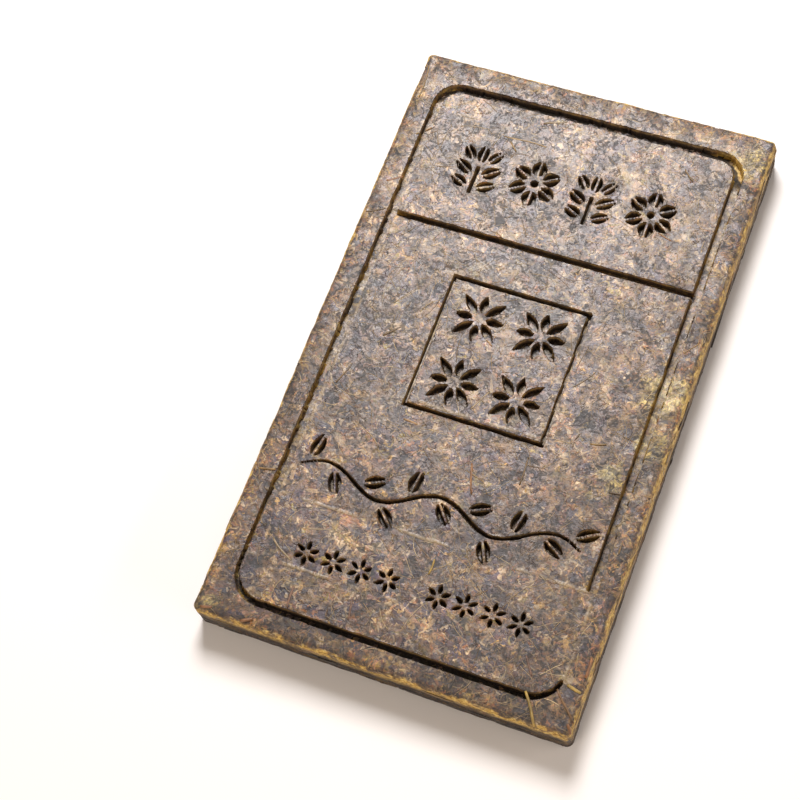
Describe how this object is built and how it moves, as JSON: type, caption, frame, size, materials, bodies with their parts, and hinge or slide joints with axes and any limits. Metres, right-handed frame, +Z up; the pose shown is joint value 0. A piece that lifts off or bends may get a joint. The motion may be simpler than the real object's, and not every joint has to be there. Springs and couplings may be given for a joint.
{
  "type": "pressed dark tea brick",
  "caption": "Flat brick of pressed dark tea: carved frame lines and leaf ornaments on its face, deep sloping grooves parting its reverse into blocks that break off.",
  "frame": {"origin": "the middle of the underside, on the surface that the brick lies on", "axes": "+X across the brick, +Y along it towards the panel with four ornaments, +Z up out of the carved face"},
  "size_m": [0.17, 0.29, 0.02],
  "materials": {
    "pressed_leaf": "matted flat tea leaf and stalk pressed hard, dark grey-brown with a dull sheen, golden-brown at the edges"
  },
  "bodies": {
    "root": {"tea_brick": "pressed_leaf"}
  },
  "joints": []
}
